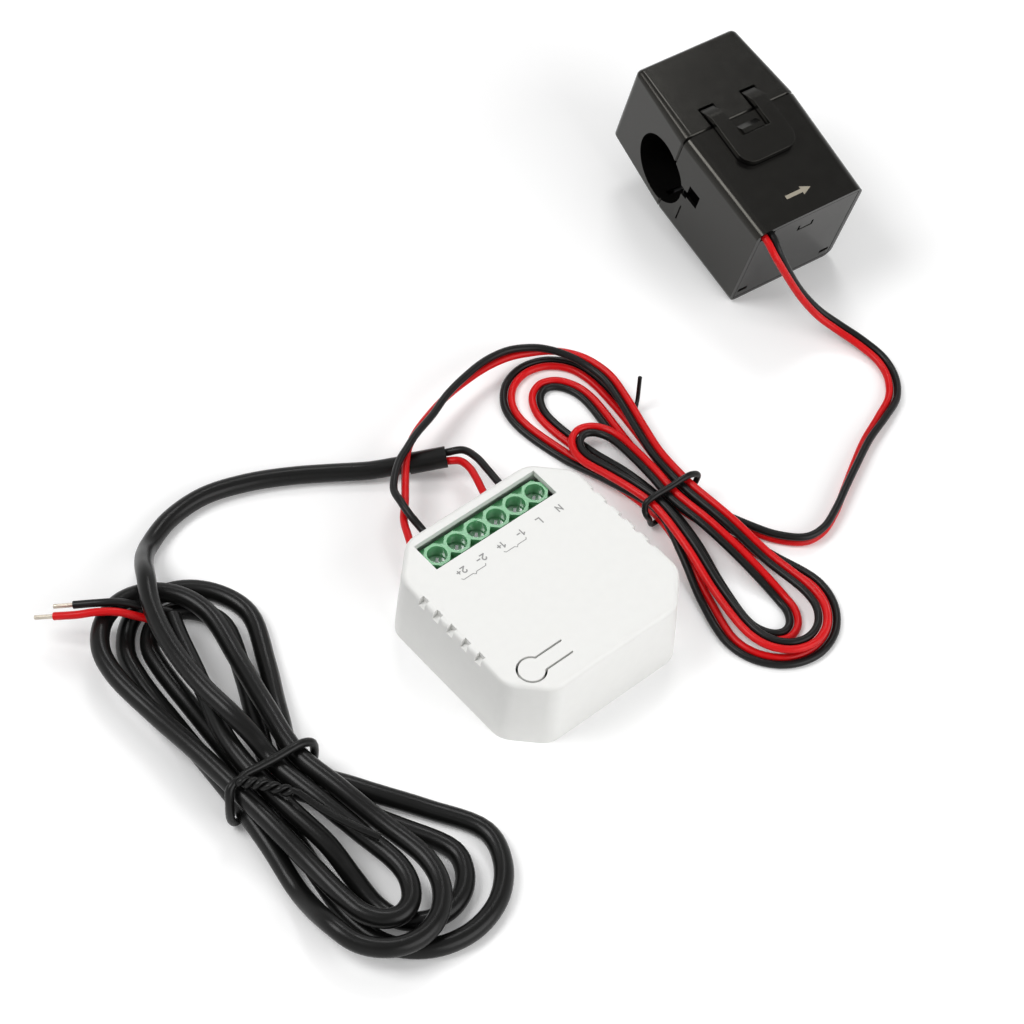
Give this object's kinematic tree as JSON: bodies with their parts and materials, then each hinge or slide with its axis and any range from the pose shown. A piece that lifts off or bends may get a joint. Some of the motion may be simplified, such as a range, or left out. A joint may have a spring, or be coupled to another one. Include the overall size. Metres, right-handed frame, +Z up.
{
  "type": "smart energy monitor",
  "caption": "White octagonal wall-box energy monitor with a green screw terminal block, a tied mains lead and a split-core current clamp on a tied twin lead.",
  "frame": {"origin": "middle of the module's flat underside, on the floor", "axes": "+X along the terminal row, +Y out of the wire entries, +Z up out of the module's roof"},
  "size_m": [0.2002, 0.1318, 0.0346],
  "materials": {
    "case_white": "Smooth matt white moulding.",
    "button_white": "Same white as the cover.",
    "board_green": "Solder-masked laminate.",
    "terminal_green": "Mid green moulding.",
    "plated_steel": "Zinc-plated, lightly brushed.",
    "contact_brass": "Plain brass.",
    "part_black": "Dark moulded component body.",
    "can_steel": "Drawn can, lightly brushed.",
    "sleeve_blue": "Shrunk sleeve.",
    "winding_copper": "Enamelled copper wire.",
    "disc_blue": "Epoxy coating.",
    "resistor_tan": "Coated ceramic.",
    "clamp_black": "Fine matt texture.",
    "core_grey": "Rolled strip.",
    "pad_grey": "Foam rubber.",
    "bobbin_ivory": "Natural nylon.",
    "sheath_black": "Soft PVC, slight sheen.",
    "core_red": "PVC insulation.",
    "core_black": "PVC insulation.",
    "bare_tin": "Tinned stranded copper."
  },
  "bodies": {
    "monitor": {"module_cover": "case_white", "base_plate": "case_white", "main_board": "board_green", "terminal_housing": "terminal_green", "terminal_contacts": "contact_brass", "tact_switch": "part_black", "radio_board": "board_green", "radio_shield": "can_steel", "bulk_capacitors": "sleeve_blue", "power_inductor": "winding_copper", "varistor": "disc_blue", "fusible_resistor": "resistor_tan", "bridge_rectifier": "part_black", "metering_chip": "part_black", "burden_resistors": "part_black", "clamp_base": "clamp_black", "clamp_end_cover": "clamp_black", "clamp_hinge_pin": "plated_steel", "lower_core": "core_grey", "winding_bobbin": "bobbin_ivory", "secondary_winding": "winding_copper", "mains_cable": "sheath_black", "mains_sleeve": "sheath_black", "mains_hank": "sheath_black", "mains_tie": "sheath_black", "mains_core_red": "core_red", "mains_core_black": "core_black", "mains_tail_red": "core_red", "mains_tail_black": "core_black", "mains_tail_tips": "bare_tin", "terminal_bare_ends": "bare_tin", "lead_red_module_side": "core_red", "lead_black_module_side": "core_black", "lead_red_hank": "core_red", "lead_black_hank": "core_black", "lead_red_clamp_side": "core_red", "lead_black_clamp_side": "core_black", "lead_tie": "sheath_black"},
    "button": {"pairing_button": "button_white"},
    "plunger": {"tact_plunger": "part_black"},
    "screw_1": {"terminal_screw_1": "plated_steel"},
    "cage_1": {"terminal_cage_1": "plated_steel"},
    "screw_2": {"terminal_screw_2": "plated_steel"},
    "cage_2": {"terminal_cage_2": "plated_steel"},
    "screw_3": {"terminal_screw_3": "plated_steel"},
    "cage_3": {"terminal_cage_3": "plated_steel"},
    "screw_4": {"terminal_screw_4": "plated_steel"},
    "cage_4": {"terminal_cage_4": "plated_steel"},
    "screw_5": {"terminal_screw_5": "plated_steel"},
    "cage_5": {"terminal_cage_5": "plated_steel"},
    "screw_6": {"terminal_screw_6": "plated_steel"},
    "cage_6": {"terminal_cage_6": "plated_steel"},
    "cap": {"clamp_cap": "clamp_black", "cap_core_plate": "clamp_black", "upper_core": "core_grey", "core_pad": "pad_grey"},
    "latch": {"clamp_latch": "clamp_black"}
  },
  "joints": [
    {"name": "button_press", "type": "hinge", "parent": "monitor", "child": "button", "pos_m": [-0.0073, -0.0159, 0.0159], "axis": [0, -1, 0], "range_deg": [0, 2.6], "stiffness_Nm_per_rad": 0.02},
    {"name": "plunger_press", "type": "slide", "parent": "monitor", "child": "plunger", "axis": [0, 0, -1], "range_m": [0, 0.00032]},
    {"name": "screw_turn_1", "type": "hinge", "parent": "monitor", "child": "screw_1", "pos_m": [-0.0125, 0.0163, 0.012], "axis": [0, 0, -1], "range_deg": [-720, 0]},
    {"name": "cage_lift_1", "type": "slide", "parent": "monitor", "child": "cage_1", "axis": [0, 0, 1], "range_m": [-0.0009, 0]},
    {"name": "screw_turn_2", "type": "hinge", "parent": "monitor", "child": "screw_2", "pos_m": [-0.0075, 0.0163, 0.012], "axis": [0, 0, -1], "range_deg": [-720, 0]},
    {"name": "cage_lift_2", "type": "slide", "parent": "monitor", "child": "cage_2", "axis": [0, 0, 1], "range_m": [-0.0009, 0]},
    {"name": "screw_turn_3", "type": "hinge", "parent": "monitor", "child": "screw_3", "pos_m": [-0.0025, 0.0163, 0.012], "axis": [0, 0, -1], "range_deg": [0, 1080]},
    {"name": "cage_lift_3", "type": "slide", "parent": "monitor", "child": "cage_3", "axis": [0, 0, 1], "range_m": [0, 0.00135]},
    {"name": "screw_turn_4", "type": "hinge", "parent": "monitor", "child": "screw_4", "pos_m": [0.0025, 0.0163, 0.012], "axis": [0, 0, -1], "range_deg": [0, 1080]},
    {"name": "cage_lift_4", "type": "slide", "parent": "monitor", "child": "cage_4", "axis": [0, 0, 1], "range_m": [0, 0.00135]},
    {"name": "screw_turn_5", "type": "hinge", "parent": "monitor", "child": "screw_5", "pos_m": [0.0075, 0.0163, 0.012], "axis": [0, 0, -1], "range_deg": [-720, 0]},
    {"name": "cage_lift_5", "type": "slide", "parent": "monitor", "child": "cage_5", "axis": [0, 0, 1], "range_m": [-0.0009, 0]},
    {"name": "screw_turn_6", "type": "hinge", "parent": "monitor", "child": "screw_6", "pos_m": [0.0125, 0.0163, 0.012], "axis": [0, 0, -1], "range_deg": [-720, 0]},
    {"name": "cage_lift_6", "type": "slide", "parent": "monitor", "child": "cage_6", "axis": [0, 0, 1], "range_m": [-0.0009, 0]},
    {"name": "cap_open", "type": "hinge", "parent": "monitor", "child": "cap", "pos_m": [0.1064, 0.06457, 0.0024], "axis": [-0.9938, 0.1115, 0], "range_deg": [0, 95], "deforming": ["clamp_latch"]},
    {"name": "latch_flex", "type": "hinge", "parent": "cap", "child": "latch", "pos_m": [0.10616, 0.06245, 0.0319], "axis": [-0.9938, 0.1115, 0], "range_deg": [0, 12], "stiffness_Nm_per_rad": 0.05}
  ],
  "couplings": [
    {"joint": "button_press", "follows": "plunger_press", "rad_per_m": 138.89},
    {"joint": "screw_turn_1", "follows": "cage_lift_1", "rad_per_m": 13962},
    {"joint": "screw_turn_2", "follows": "cage_lift_2", "rad_per_m": 13962},
    {"joint": "screw_turn_3", "follows": "cage_lift_3", "rad_per_m": 13962},
    {"joint": "screw_turn_4", "follows": "cage_lift_4", "rad_per_m": 13962},
    {"joint": "screw_turn_5", "follows": "cage_lift_5", "rad_per_m": 13962},
    {"joint": "screw_turn_6", "follows": "cage_lift_6", "rad_per_m": 13962}
  ]
}
